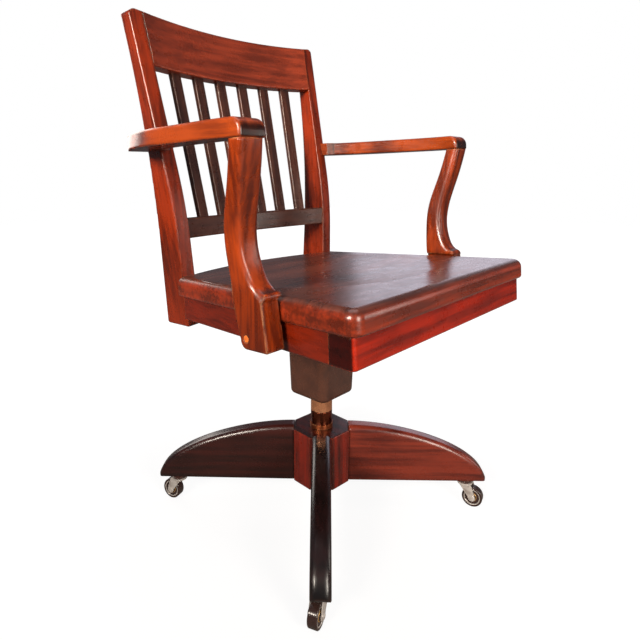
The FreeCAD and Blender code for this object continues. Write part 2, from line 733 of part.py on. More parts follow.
# The pressed steel housing turns with the seat on top of the spindle. It flares upwards a little
# and holds the tilt shaft, the spring shelf and the tilt spring.
housing_low = size("housing_underside", 221.5)
housing_high = pivot_height + size("rim_above_shaft", 11)
housing_half_low = size("housing_half_low", 45)
housing_flare = size("housing_flare", 2.7)
housing_wall = size("housing_wall", 2.5)
housing_corner = size("housing_corner_radius", 14)
housing_foot_round = size("housing_foot_round", 9)
shelf_level = size("spring_shelf_level", 280.5)
shelf_thick = size("spring_shelf_thickness", 4)
spring_at = size("spring_behind_shaft", 26)
spring_radius = size("spring_radius", 16)
spring_wire = size("spring_wire", 4)
guide_radius = size("guide_rod_radius", 8)
cup_thick = size("spring_cup_thickness", 3)
spindle_radius = size("spindle_radius", 13)
spindle_low = size("spindle_foot", 58.5)
spindle_high = size("spindle_head", 258.5)
neck_radius = size("neck_radius", 20.5)
nut_high = size("height_nut_height", 25)
flange_radius = size("flange_radius", 22)
flange_thick = size("flange_thickness", 8)
lock_nut_reach = size("lock_nut_corner", 22)
lock_nut_high = size("lock_nut_height", 18)
shaft_nut_reach = size("shaft_nut_corner", 11)
shaft_nut_high = size("shaft_nut_height", 7)
guide_high = size("guide_rod_height", 60)


def rounded_square(sketch, half, corner):
    knee = corner * (1 - math.sqrt(0.5))
    flat = half - corner
    draw(sketch, (-flat, -half), (flat, -half), ((half - knee, -half + knee), (half, -flat)),
         (half, flat), ((half - knee, half - knee), (flat, half)),
         (-flat, half), ((-half + knee, half - knee), (-half, flat)),
         (-half, -flat), ((-half + knee, -half + knee), (-flat, -half)))


def draw_hexagon(sketch, x, y, reach):
    corners = [(x + reach * math.cos(math.radians(angle)), y + reach * math.sin(math.radians(angle)))
               for angle in range(0, 360, 60)]
    draw(sketch, corners[0], *corners[1:])


def housing_half(level):
    return housing_half_low + math.tan(math.radians(housing_flare)) * (level - housing_low)


def make_housing():
    body = new_body("mechanism_housing")
    sketch = new_sketch(body, "XY_Plane", housing_low)
    rounded_square(sketch, housing_half_low, housing_corner)
    outside = pad(body, sketch, housing_high - housing_low)
    outside.TaperAngle = housing_flare
    outside.setExpression("TaperAngle", "Sizes.housing_flare")
    round_edges(body, housing_foot_round, lambda m, e: abs(m.z - housing_low) < 0.1, "housing_foot_round")
    hollow_from = housing_low + housing_wall
    sketch = new_sketch(body, "XY_Plane", hollow_from)
    rounded_square(sketch, housing_half(hollow_from) - housing_wall, housing_corner - housing_wall)
    inside = pocket(body, sketch, housing_high - hollow_from + 1, reverse=True)
    inside.TaperAngle = housing_flare
    inside.setExpression("TaperAngle", "Sizes.housing_flare")
    bore = new_sketch(body, "XY_Plane", hollow_from + 1)
    draw_circle(bore, 0, 0, spindle_radius + run_fit)
    pocket(body, bore, housing_wall + 4)
    shaft = new_sketch(body, "YZ_Plane")
    draw_circle(shaft, 0, pivot_height, shaft_radius + run_fit)
    pocket(body, shaft, through, midplane=True)
    finish(body)


def make_ring(label, low, high, outer, inner, outer_name=None):
    body = new_body(label)
    sketch = new_sketch(body, "XY_Plane", low)
    draw_circle(sketch, 0, 0, outer, outer_name)
    draw_circle(sketch, 0, 0, inner)
    pad(body, sketch, high - low)
    return body


def make_column():
    rim = hub_high + face_gap
    nut_low = rim + flange_thick + face_gap
    nut_top = nut_low + nut_high
    bore = spindle_radius + run_fit
    finish(make_ring("spindle_collar", nut_top + face_gap, housing_low - face_gap / 3, neck_radius, bore,
                     "neck_radius"))
    nut = make_ring("height_nut", nut_low, nut_top, neck_radius, bore, "neck_radius")
    round_edges(nut, hub_edge, lambda m, e: abs(m.z - nut_top) < 0.1 and m.Length > neck_radius)
    finish(nut)
    sleeve = new_body("bearing_sleeve")
    sketch = new_sketch(sleeve, "XZ_Plane")
    draw(sketch, (bore, sleeve_low), (sleeve_radius, sleeve_low), (sleeve_radius, rim), (flange_radius, rim),
         (flange_radius, rim + flange_thick), (bore, rim + flange_thick))
    revolve(sleeve, sketch)
    finish(sleeve)
    spindle = new_body("spindle")
    sketch = new_sketch(spindle, "XY_Plane", spindle_low)
    draw_circle(sketch, 0, 0, spindle_radius, "spindle_radius")
    pad(spindle, sketch, spindle_high - spindle_low)
    # The screw thread is drawn as a row of shallow rings below the housing.
    rings = []
    count = int((nut_top - spindle_low) / thread_pitch) - 2
    for number in range(count):
        ring = doc.addObject("Part::Torus", f"thread_{number}")
        ring.Radius1 = spindle_radius
        ring.Radius2 = thread_depth
        ring.Placement = place(z=spindle_low + (number + 1.3) * thread_pitch)
        rings.append(ring)
    thread = doc.addObject("Part::Compound", "thread_rings")
    thread.Links = rings
    cut("spindle", spindle, thread)
    lock = new_body("spindle_lock_nut")
    sketch = new_sketch(lock, "XY_Plane", housing_low + housing_wall + face_gap / 3)
    draw_hexagon(sketch, 0, 0, lock_nut_reach)
    draw_circle(sketch, 0, 0, bore)
    pad(lock, sketch, lock_nut_high)
    finish(lock)


def make_tilt_unit():
    inner = housing_half(shelf_level) - housing_wall
    shelf = new_body("spring_shelf")
    sketch = new_sketch(shelf, "XY_Plane", shelf_level)
    rounded_square(sketch, inner - face_gap / 3, housing_corner - housing_half_low + inner)
    pad(shelf, sketch, shelf_thick, "spring_shelf_thickness")
    finish(shelf)
    end = ear_inner + ear_thick
    shaft = new_body("tilt_shaft")
    sketch = new_sketch(shaft, "YZ_Plane")
    draw_circle(sketch, 0, pivot_height, shaft_radius, "tilt_shaft_radius")
    pad(shaft, sketch, 2 * (end + shaft_nut_high + 2), midplane=True)
    finish(shaft)
    nuts = []
    for side in (-1, 1):
        nut = new_body(f"shaft_nut_{side}")
        sketch = new_sketch(nut, "YZ_Plane", side * (end + face_gap))
        draw_hexagon(sketch, 0, pivot_height, shaft_nut_reach)
        draw_circle(sketch, 0, pivot_height, shaft_radius + run_fit)
        pad(nut, sketch, shaft_nut_high, reverse=side < 0)
        nuts.append(nut)
    group("shaft_nuts", nuts)
    rod_low = shelf_level + shelf_thick
    pitch = math.radians(seat_pitch)
    cup_under = (plate_under - cup_thick) / math.cos(pitch) - (spring_at + spring_radius) * math.tan(pitch)
    guide = make_ring("spring_guide", rod_low, rod_low + guide_high, guide_radius, guide_radius - 3)
    guide.Placement = place(y=spring_at)
    finish(guide)
    spring_top = pivot_height + cup_under - face_gap
    spring = make_ring("tilt_spring", rod_low + face_gap, spring_top, spring_radius,
                       spring_radius - spring_wire)
    spring.Placement = place(y=spring_at)
    finish(spring)
    cup = new_body("spring_cup", seat_frame.multiply(place(y=spring_at)))
    sketch = new_sketch(cup, "XY_Plane", plate_under - cup_thick)
    draw_circle(sketch, 0, 0, spring_radius + 4)
    pad(cup, sketch, cup_thick, "spring_cup_thickness")
    finish(cup)


# The octagonal hub carries four bracket legs on alternate faces, and the steel tube that the
# bearing sleeve turns in.
hub_low = size("hub_underside", 53.5)
hub_high = size("hub_top", 154.5)
leg_high = size("leg_top", 159.5)
hub_flat = size("hub_across_flats", 103.5)
hub_edge = size("hub_edge_round", 1.5)
tube_radius = size("hub_tube_radius", 20)
sleeve_radius = size("sleeve_radius", 17)
sleeve_low = size("sleeve_foot", 72.5)
thread_pitch = size("thread_pitch", 6)
thread_depth = size("thread_depth", 1)
base_turn = size("base_turn", -3.8)
leg_tip = size("leg_reach", 314.5)
leg_wide = size("leg_width", 34)
leg_tip_wide = size("leg_toe_width", 31)
leg_flat = size("leg_flat_to", 60)
leg_belly = size("leg_curve_belly", 1.7)
leg_fall = size("leg_curve_fall", 0.545)
toe_high = size("leg_toe_height", 5)
leg_round = size("leg_top_round", 9)
peg_radius = size("leg_dowel_radius", 5)
peg_in = size("leg_dowel_half_length", 28)
caster_at = size("caster_radius", 279)
stem_radius = size("stem_radius", 5)
socket_radius = size("socket_radius", 8)
socket_deep = size("socket_depth", 24)
cap_radius = size("cap_radius", 15.5)
cap_foot = size("cap_foot_radius", 12)
cap_thick = size("cap_thickness", 8)
trail = size("caster_trail", 15)
wheel_radius = size("wheel_radius", 19)
wheel_wide = size("wheel_width", 15)
axle_radius = size("axle_radius", 3)
fork_thick = size("fork_thickness", 2)
fork_gap = size("fork_gap", 1.2)
leg_angles = {"front": 225, "left": 315, "back": 45, "right": 135}
caster_turns = {"front": -156.9, "left": -71.6, "back": 38.0, "right": 111.3}


def make_hub():
    body = new_body("hub", place(angle=base_turn))
    sketch = new_sketch(body, "XY_Plane", hub_low)
    reach = hub_flat / 2 / math.cos(math.radians(22.5))
    corners = [(reach * math.cos(math.radians(a + 22.5)), reach * math.sin(math.radians(a + 22.5)))
               for a in range(0, 360, 45)]
    draw(sketch, corners[0], *corners[1:])
    draw_circle(sketch, 0, 0, tube_radius + run_fit)
    pad(body, sketch, hub_high - hub_low)
    round_edges(body, hub_edge, lambda m, e: abs(m.z - hub_high) < 0.1 and m.Length > hub_high + 5)
    finish(make_ring("hub_tube", hub_low, hub_high, tube_radius, sleeve_radius + run_fit, "hub_tube_radius"))
    return body


def make_leg(label, angle):
    body = new_body(label, place(angle=base_turn + angle))
    sketch = new_sketch(body, "XZ_Plane")
    start = hub_flat / 2 + face_gap / 3
    reach = leg_tip - leg_flat
    drop = leg_high - hub_low
    # The top edge falls slowly from the flat by the hub, and ever faster down to the blunt toe.
    top_edge = [(leg_flat + reach * share, hub_low + drop * (1 - share ** leg_belly) ** leg_fall)
                for share in (0.2, 0.4, 0.6, 0.76, 0.88, 0.95, 0.985)]
    toe = [(leg_tip, hub_low + toe_high)]
    draw(sketch, (start, hub_low), (start, leg_high), (leg_flat, leg_high), top_edge + toe,
         (leg_tip - toe_high / 2, hub_low))
    pad(body, sketch, leg_wide, "leg_width", midplane=True)
    # Seen from above, the leg narrows a little towards its toe.
    for side in (-1, 1):
        taper = new_sketch(body, "XY_Plane")
        draw(taper, (start - 5, side * leg_wide / 2), (leg_tip + 5, side * leg_tip_wide / 2),
             (leg_tip + 5, side * leg_wide), (start - 5, side * leg_wide))
        pocket(body, taper, through, midplane=True)
    round_edges(body, leg_round,
                lambda m, e: abs(m.y) > leg_tip_wide / 2 - 1 and m.z > hub_low + 20 and m.x > start + 1,
                "leg_top_round")
    return body


def make_base():
    hub = make_hub()
    pegs = []
    caps = []
    legs = []
    for name, angle in leg_angles.items():
        frame = place(angle=base_turn + angle)
        start = hub_flat / 2
        pair = []
        for number, level in enumerate((hub_low + 28, hub_high - 28)):
            pair.append(rod(f"leg_dowel_{name}_{number}", (start - peg_in, 0, level),
                            (start + peg_in, 0, level), peg_radius, frame))
        pegs += pair
        stem_bore = stem_radius + run_fit
        cap = new_body(f"caster_socket_{name}", frame.multiply(place(caster_at)))
        sketch = new_sketch(cap, "XZ_Plane")
        foot = hub_low - cap_thick
        draw(sketch, (stem_bore, foot), (cap_foot, foot), (cap_radius, hub_low - 2), (cap_radius, hub_low),
             (socket_radius, hub_low), (socket_radius, hub_low + socket_deep),
             (stem_bore, hub_low + socket_deep))
        revolve(cap, sketch)
        caps.append(cap)
        leg = make_leg("leg_" + name, angle)
        hole = rod(f"socket_hole_{name}", (caster_at, 0, hub_low - 1),
                   (caster_at, 0, hub_low + socket_deep + 2), socket_radius + run_fit, frame)
        legs.append((leg, pair, hole, name))
    for leg, pair, hole, name in legs:
        cut("leg_" + name, leg, *pair, hole)
    cut("hub", hub, *pegs)
    group("leg_dowels", pegs)
    group("caster_sockets", caps)


# Each caster has a stem in its socket, a pressed fork, and a wheel that trails behind the stem.
def make_caster(name, angle, turn):
    stem = place(angle=base_turn + angle).multiply(place(caster_at)).Base
    frame = FreeCAD.Placement(vec(stem.x, stem.y, 0), FreeCAD.Rotation(vec(0, 0, 1), turn))
    fork = new_body("caster_fork_" + name, frame)
    crown = hub_low - cap_thick - face_gap
    side = new_sketch(fork, "XY_Plane", crown - 3)
    draw_circle(side, 0, 0, cap_radius - 1)
    pad(fork, side, 3)
    stem_sketch = new_sketch(fork, "XY_Plane", crown)
    draw_circle(stem_sketch, 0, 0, stem_radius, "stem_radius")
    pad(fork, stem_sketch, cap_thick + face_gap + socket_deep - 6)
    apart = wheel_wide / 2 + fork_gap
    lug = 6.5
    for way in (-1, 1):
        arm = new_sketch(fork, "XZ_Plane", -way * apart)
        draw(arm, (-10, crown - 1), (trail - lug, wheel_radius),
             ((trail, wheel_radius - lug), (trail + lug, wheel_radius)), (13, crown - 1))
        pad(fork, arm, fork_thick, "fork_thickness", reverse=way > 0)
    hole = new_sketch(fork, "XZ_Plane")
    draw_circle(hole, trail, wheel_radius, axle_radius + run_fit)
    pocket(fork, hole, 100, midplane=True)
    finish(fork)
    wheel = new_body("caster_wheel_" + name, frame.multiply(place(trail, 0, wheel_radius, (1, 0, 0), 90)))
    half = wheel_wide / 2
    profile = new_sketch(wheel, "XZ_Plane")
    bore = axle_radius + run_fit
    draw(profile, (bore, -half), (7, -half), (7.5, -half + 2), (14.5, -half + 2.5), (15.5, -half),
         (wheel_radius - 1.5, -half), ((wheel_radius - 0.4, -half + 0.5), (wheel_radius, -half + 2)),
         (wheel_radius, half - 2), ((wheel_radius - 0.4, half - 0.5), (wheel_radius - 1.5, half)),
         (15.5, half), (14.5, half - 2.5), (7.5, half - 2), (7, half), (bore, half))
    revolve(wheel, profile)
    finish(wheel)
    axle = new_body("caster_axle_" + name, frame.multiply(place(trail, 0, wheel_radius, (1, 0, 0), 90)))
    out = apart + fork_thick
    profile = new_sketch(axle, "XZ_Plane")
    draw(profile, (0, -out - 1.6), (4, -out - 1.6), (4.6, -out), (axle_radius, -out), (axle_radius, out),
         (4.6, out), (4, out + 1.6), (0, out + 1.6))
    revolve(axle, profile)
    finish(axle)


make_base()
make_column()
make_housing()
make_tilt_unit()
for leg_name, leg_angle in leg_angles.items():
    make_caster(leg_name, leg_angle, base_turn + caster_turns[leg_name])
posts = [make_post("back_post_right", -1), make_post("back_post_left", 1)]
apron_sides = make_apron(posts)
make_back()
make_arms(posts, apron_sides)
cut("seat", make_seat(), make_seat_plate())
doc.recompute()

for thing in doc.Objects:
    if "Invalid" in thing.State or "Error" in thing.State:
        raise RuntimeError(f"{thing.Label} has failed: {thing.State}")
for label, thing in made.items():
    if thing.Shape.isNull() or not thing.Shape.isValid():
        raise RuntimeError(f"the shape of {label} isn't sound")

os.makedirs("parts", exist_ok=True)
for label, thing in made.items():
    thing.Shape.exportStep(f"parts/{label}.step")
print(len(made), "pieces")
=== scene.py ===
import math

import bmesh
import bpy
from mathutils import Matrix, Vector


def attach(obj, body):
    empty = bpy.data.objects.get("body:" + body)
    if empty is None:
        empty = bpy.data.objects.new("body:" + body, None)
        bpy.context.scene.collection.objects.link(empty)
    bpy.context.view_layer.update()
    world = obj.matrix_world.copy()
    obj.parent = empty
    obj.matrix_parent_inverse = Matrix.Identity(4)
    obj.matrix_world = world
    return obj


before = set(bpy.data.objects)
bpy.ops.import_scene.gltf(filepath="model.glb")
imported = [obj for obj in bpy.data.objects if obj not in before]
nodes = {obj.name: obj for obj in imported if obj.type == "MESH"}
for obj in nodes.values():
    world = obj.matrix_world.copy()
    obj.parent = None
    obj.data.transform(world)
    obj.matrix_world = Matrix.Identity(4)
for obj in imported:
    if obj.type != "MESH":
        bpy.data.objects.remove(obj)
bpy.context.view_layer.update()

# Base
# Four bracket legs are dowelled to the flats of an octagonal hub. All of it is solid hardwood with a
# dark stain under a glossy varnish: the hub's grain stands upright, and each leg's runs outwards.


def fill(tree, node, values):
    """Set inputs of a node, each to a number, a colour or another node's output."""
    for name, value in values.items():
        if isinstance(value, bpy.types.NodeSocket):
            tree.links.new(value, node.inputs[name])
        else:
            node.inputs[name].default_value = value
    return node


def new_material(name):
    """An empty material with its output node."""
    material = bpy.data.materials.new(name)
    material.use_nodes = True
    tree = material.node_tree
    tree.nodes.clear()
    output = tree.nodes.new("ShaderNodeOutputMaterial")
    return material, tree, output


def effect_group(name, entries, results):
    """An empty node group: its entries by name, kind and value, and its results by name and kind."""
    tree = bpy.data.node_groups.new(name, "ShaderNodeTree")
    for label, kind, value in entries:
        made = tree.interface.new_socket(label, in_out="INPUT", socket_type="NodeSocket" + kind)
        if value is not None:
            made.default_value = value
    for label, kind in results:
        tree.interface.new_socket(label, in_out="OUTPUT", socket_type="NodeSocket" + kind)
    return tree, tree.nodes.new("NodeGroupInput").outputs, tree.nodes.new("NodeGroupOutput")


def maths(tree, kind, first, second=0.0):
    """A sum on numbers or other nodes' outputs."""
    node = tree.nodes.new("ShaderNodeMath")
    node.operation = kind
    return fill(tree, node, {0: first, 1: second}).outputs[0]


def swing(tree, value, amount):
    """A share between 0 and 1 as a swing about nothing, this much from end to end."""
    return maths(tree, "MULTIPLY", maths(tree, "SUBTRACT", value, 0.5), amount)


def ranged(tree, value, low, high, new_low=0.0, new_high=1.0):
    """A value eased from new_low to new_high, where it was low to high."""
    node = tree.nodes.new("ShaderNodeMapRange")
    node.interpolation_type = "SMOOTHSTEP"
    fill(tree, node, {"Value": value, "From Min": low, "From Max": high,
                      "To Min": new_low, "To Max": new_high})
    return node.outputs["Result"]


def noise(tree, vector, scale, detail=3.0, roughness=0.5, distortion=0.0):
    """Cloudy patches: a larger scale makes them smaller."""
    node = tree.nodes.new("ShaderNodeTexNoise")
    fill(tree, node, {"Vector": vector, "Scale": scale, "Detail": detail, "Roughness": roughness,
                      "Distortion": distortion})
    return node.outputs["Fac"]


def stretched(tree, vector, amount):
    """A place multiplied axis by axis: a pattern on it is drawn out where the amount is small."""
    node = tree.nodes.new("ShaderNodeVectorMath")
    node.operation = "MULTIPLY"
    return fill(tree, node, {0: vector, 1: amount}).outputs[0]


def mixed(tree, share, first, second, blend="MIX"):
    """Two colours mixed by a share."""
    node = tree.nodes.new("ShaderNodeMix")
    node.data_type = "RGBA"
    node.blend_type = blend
    return fill(tree, node, {0: share, 6: first, 7: second}).outputs[2]


def softened(tree, radius):
    """The direction of a face whose sharp edges are eased by this radius."""
    node = tree.nodes.new("ShaderNodeBevel")
    node.samples = 6
    return fill(tree, node, {"Radius": radius}).outputs[0]


def marked(tree, height, strength, radius):
    """Shallow marks on a face with softened edges."""
    node = tree.nodes.new("ShaderNodeBump")
    fill(tree, node, {"Strength": strength, "Distance": 0.0004, "Height": height,
                      "Normal": softened(tree, radius)})
    return node.outputs[0]


def edge_share(tree, radius, low, high):
    """How close a place is to a sharp edge: 0 on the flat, 1 on the edge."""
    flat = tree.nodes.new("ShaderNodeNewGeometry")
    alike = tree.nodes.new("ShaderNodeVectorMath")
    alike.operation = "DOT_PRODUCT"
    fill(tree, alike, {0: softened(tree, radius), 1: flat.outputs["Normal"]})
    return ranged(tree, alike.outputs["Value"], low, high)


def grain_group():
    """Boards, streaks, pores, end grain and rubbed edges, for wood whose grain runs along Z."""
    tree, entry, leave = effect_group(
        "varnished_grain",
        (("Vector", "Vector", None), ("Normal", "Vector", None), ("Light", "Color", None),
         ("Dark", "Color", None), ("Worn", "Color", None), ("Figure", "Float", 0.4), ("Wear", "Float", 0.3),
         ("Boards", "Float", 0.0), ("End Grain", "Float", 0.7), ("Sides", "Color", (1, 1, 1, 1)),
         ("Upward", "Float", 1.0)),
        (("Color", "Color"), ("Roughness", "Float"), ("Height", "Float")))
    # Each board of a glued panel has its own tone, and the grain starts anew at the joint.
    parts = tree.nodes.new("ShaderNodeSeparateXYZ")
    tree.links.new(entry["Vector"], parts.inputs[0])
    board = maths(tree, "FLOOR", maths(tree, "MULTIPLY", parts.outputs["Y"], entry["Boards"]))
    chance = tree.nodes.new("ShaderNodeTexWhiteNoise")
    chance.noise_dimensions = "1D"
    tree.links.new(board, chance.inputs["W"])
    along = maths(tree, "ADD", parts.outputs["Z"], maths(tree, "MULTIPLY", chance.outputs["Value"], 5.0))
    joined = tree.nodes.new("ShaderNodeCombineXYZ")
    fill(tree, joined, {"X": parts.outputs["X"], "Y": parts.outputs["Y"], "Z": along})
    wood_place = joined.outputs[0]
    # The figure: wide growth rings, narrow streaks, open pores and darker clouds, all drawn out along it.
    rings = tree.nodes.new("ShaderNodeTexWave")
    rings.bands_direction = "X"
    fill(tree, rings, {"Vector": stretched(tree, wood_place, (1, 0.5, 0.06)), "Scale": 15.0,
                       "Distortion": 7.0, "Detail": 3.0, "Detail Scale": 1.2})
    streaks = noise(tree, stretched(tree, wood_place, (1, 1, 0.045)), scale=170.0, detail=5.0,
                    roughness=0.62, distortion=0.3)
    specks = noise(tree, stretched(tree, wood_place, (1, 1, 0.05)), scale=900.0, detail=2.0, roughness=0.6)
    pores = ranged(tree, specks, low=0.57, high=0.70)
    clouds = noise(tree, stretched(tree, wood_place, (1, 1, 0.4)), scale=14.0, detail=4.0, roughness=0.6)
    tone = maths(tree, "ADD", 0.5, maths(tree, "MULTIPLY", swing(tree, rings.outputs["Fac"], 1.0),
                                         entry["Figure"]))
    tone = maths(tree, "ADD", tone, swing(tree, ranged(tree, streaks, low=0.3, high=0.7), 0.7))
    tone = maths(tree, "ADD", tone, swing(tree, ranged(tree, clouds, low=0.25, high=0.75), 0.8))
    tone = maths(tree, "ADD", tone, swing(tree, chance.outputs["Value"], 0.35))
    tone = maths(tree, "SUBTRACT", tone, maths(tree, "MULTIPLY", pores, 0.1))
    clamped = tree.nodes.new("ShaderNodeClamp")
    tree.links.new(tone, clamped.inputs["Value"])
    wood = mixed(tree, clamped.outputs[0], entry["Dark"], entry["Light"])
    # The stain soaks into the end grain and leaves it nearly black.
    facing = tree.nodes.new("ShaderNodeSeparateXYZ")
    tree.links.new(entry["Normal"], facing.inputs[0])
    across = ranged(tree, maths(tree, "ABSOLUTE", facing.outputs["Z"]), low=0.72, high=0.97)
    wood = mixed(tree, maths(tree, "MULTIPLY", across, entry["End Grain"]), wood, (0.0, 0.0, 0.0, 1))
    # The sides of a seat keep more of the red stain than its top, which sitting has dulled.
    top_share = ranged(tree, entry["Upward"], low=0.35, high=0.93)
    side_tint = mixed(tree, top_share, entry["Sides"], (1.0, 1.0, 1.0, 1))
    wood = mixed(tree, 1.0, wood, side_tint, "MULTIPLY")
    # The edges, where hands and cloth have rubbed the varnish thin.
    patches = ranged(tree, noise(tree, entry["Vector"], scale=60.0, detail=4.0, roughness=0.65),
                     low=0.40, high=0.62)
    edge = edge_share(tree, radius=0.005, low=0.995, high=0.86)
    rubbed = maths(tree, "MULTIPLY", maths(tree, "MULTIPLY", edge, patches), entry["Wear"])
    # The varnish is a little duller where it is smeared, and over the pores.
    smears = noise(tree, entry["Vector"], scale=34.0, detail=3.0, roughness=0.6)
    gloss = ranged(tree, smears, low=0.3, high=0.7, new_low=0.25, new_high=0.33)
    fill(tree, leave, {
        "Color": mixed(tree, rubbed, wood, entry["Worn"]),
        "Roughness": maths(tree, "ADD", gloss, maths(tree, "MULTIPLY", pores, 0.10)),
        "Height": maths(tree, "SUBTRACT", maths(tree, "MULTIPLY", streaks, 0.6), pores)})
    return tree


varnished_grain = grain_group()
GRAIN_TURN = {"X": (0, math.radians(90), 0), "Y": (math.radians(90), 0, 0), "Z": (0, 0, 0)}


def timber(name, light, dark, grain, worn=(0.42, 0.13, 0.04, 1), figure=0.4, wear=0.3, lean=0.0, turn=0.0,
           coat=0.3, coat_roughness=0.14, soften=0.0022, boards=0.0, end_grain=0.8, sides=(1, 1, 1, 1),
           shift=0.0):
    """Varnished wood with its grain along an axis of the chair, turned about X (lean) and Z (turn)."""
    material, tree, output = new_material(name)
    place = tree.nodes.new("ShaderNodeTexCoord")
    figured = tree.nodes.new("ShaderNodeGroup")
    figured.node_tree = varnished_grain
    first, second, third = GRAIN_TURN[grain]
    grain_turn = (first + math.radians(lean), second, third + math.radians(turn))
    for source, entry, moved in (("Object", "Vector", (shift, shift * 0.7, shift * 1.3)),
                                 ("Normal", "Normal", (0, 0, 0))):
        board = tree.nodes.new("ShaderNodeMapping")
        board.vector_type = "TEXTURE"
        fill(tree, board, {"Vector": place.outputs[source], "Location": moved, "Rotation": grain_turn})
        tree.links.new(board.outputs[0], figured.inputs[entry])
    upright = tree.nodes.new("ShaderNodeSeparateXYZ")
    tree.links.new(place.outputs["Normal"], upright.inputs[0])
    fill(tree, figured, {"Light": light, "Dark": dark, "Worn": worn, "Figure": figure, "Wear": wear,
                         "Boards": boards, "End Grain": end_grain, "Sides": sides,
                         "Upward": upright.outputs["Z"]})
    wood = tree.nodes.new("ShaderNodeBsdfPrincipled")
    fill(tree, wood, {"Base Color": figured.outputs["Color"], "Roughness": figured.outputs["Roughness"],
                      "Normal": marked(tree, figured.outputs["Height"], 0.09, soften),
                      "Specular IOR Level": 0.4, "Coat Weight": coat, "Coat Roughness": coat_roughness})
    tree.links.new(wood.outputs[0], output.inputs["Surface"])
    return material


def dress(material, *names):
    """Give CAD pieces their finish."""
    for name in names:
        for slot in nodes[name].material_slots:
            slot.material = material


LEG_TURN = {"front": 221.2, "left": 311.2, "back": 41.2, "right": 131.2}
# Each leg gets its own copy of the same wood in a different brightness, as painted light and shade: the leg
# named left is painted bright as if lit, the back one less, and the front and right legs near-black as
# painted shade.
LEG_LIT_AND_SHADED_COLOURS = {"front": ((0.018, 0.006, 0.006, 1), (0.006, 0.003, 0.003, 1)),
               "left": ((0.20, 0.026, 0.012, 1), (0.075, 0.009, 0.005, 1)),
               "back": ((0.10, 0.018, 0.010, 1), (0.045, 0.009, 0.006, 1)),
               "right": ((0.040, 0.006, 0.004, 1), (0.015, 0.003, 0.002, 1))}
for name, angle in LEG_TURN.items():
    light, dark = LEG_LIT_AND_SHADED_COLOURS[name]
    leg_finish_lit_and_shaded = timber("leg_wood_lit_and_shaded_" + name, light, dark, "X", figure=0.5, turn=angle,
                      worn=(0.16, 0.05, 0.03, 1), coat=0.7, coat_roughness=0.22, soften=0.009,
                      shift=angle / 100)
    dress(leg_finish_lit_and_shaded, "leg_" + name)
hub_wood = timber("hub_wood", (0.24, 0.016, 0.006, 1), (0.045, 0.006, 0.004, 1), "Z", figure=0.7, turn=-3.8)
dress(hub_wood, "hub", "leg_dowels")

# Casters
# Each bright nickel fork turns on a stem in a brown socket, and straddles a hard dark wheel. A bright
# rim is pressed into both side faces of the wheel, and a brass eyelet sits round the riveted axle.
CASTER_RADIUS = 0.279
CASTER_TRAIL = 0.015
CASTER_TURN = {"front": -160.7, "left": -75.4, "back": 34.2, "right": 107.5}
WHEEL_LEVEL = 0.019
WHEEL_HALF = 0.007
RIM_RADIUS, RIM_WIRE, RIM_SUNK = 0.0146, 0.0012, 0.0008
EYELET_RADIUS, EYELET_WIRE, EYELET_SUNK = 0.0080, 0.0008, 0.0011
WIRE_SIDES = 10
RING_SIDES = 48


def scuff_group():
    """Blotches, specks and rubbed edges on metal."""
    tree, entry, leave = effect_group(
        "scuffed_metal",
        (("Base", "Color", None), ("Stain", "Color", None), ("Edge", "Color", None),
         ("Amount", "Float", 0.5), ("Gloss", "Float", 0.3)),
        (("Color", "Color"), ("Roughness", "Float"), ("Height", "Float")))
    here = tree.nodes.new("ShaderNodeTexCoord").outputs["Object"]
    blotch = ranged(tree, noise(tree, here, scale=45.0, detail=5.0, roughness=0.65), low=0.40, high=0.66)
    speck = ranged(tree, noise(tree, here, scale=420.0, detail=3.0, roughness=0.6), low=0.55, high=0.72)
    dirt = maths(tree, "MULTIPLY", maths(tree, "ADD", blotch, maths(tree, "MULTIPLY", speck, 0.5)),
                 entry["Amount"])
    clamped = tree.nodes.new("ShaderNodeClamp")
    tree.links.new(dirt, clamped.inputs["Value"])
    colour = mixed(tree, clamped.outputs[0], entry["Base"], entry["Stain"])
    edge = maths(tree, "MULTIPLY", edge_share(tree, radius=0.003, low=0.99, high=0.85), blotch)
    fill(tree, leave, {
        "Color": mixed(tree, edge, colour, entry["Edge"]),
        "Roughness": maths(tree, "ADD", entry["Gloss"], maths(tree, "MULTIPLY", clamped.outputs[0], 0.2)),
        "Height": maths(tree, "SUBTRACT", speck, blotch)})
    return tree


scuffed_metal = scuff_group()


def metal(name, base, stain, edge, amount=0.5, gloss=0.3, metallic=1.0, coat=0.0):
    """Scuffed metal, enamel or hard rubber: its colour, its dirt and its rubbed edges."""
    material, tree, output = new_material(name)
    scuff = tree.nodes.new("ShaderNodeGroup")
    scuff.node_tree = scuffed_metal
    fill(tree, scuff, {"Base": base, "Stain": stain, "Edge": edge, "Amount": amount, "Gloss": gloss})
    skin = tree.nodes.new("ShaderNodeBsdfPrincipled")
    fill(tree, skin, {"Base Color": scuff.outputs["Color"], "Roughness": scuff.outputs["Roughness"],
                      "Normal": marked(tree, scuff.outputs["Height"], 0.15, 0.0008),
                      "Metallic": metallic, "Coat Weight": coat, "Coat Roughness": 0.08})
    tree.links.new(skin.outputs[0], output.inputs["Surface"])
    return material


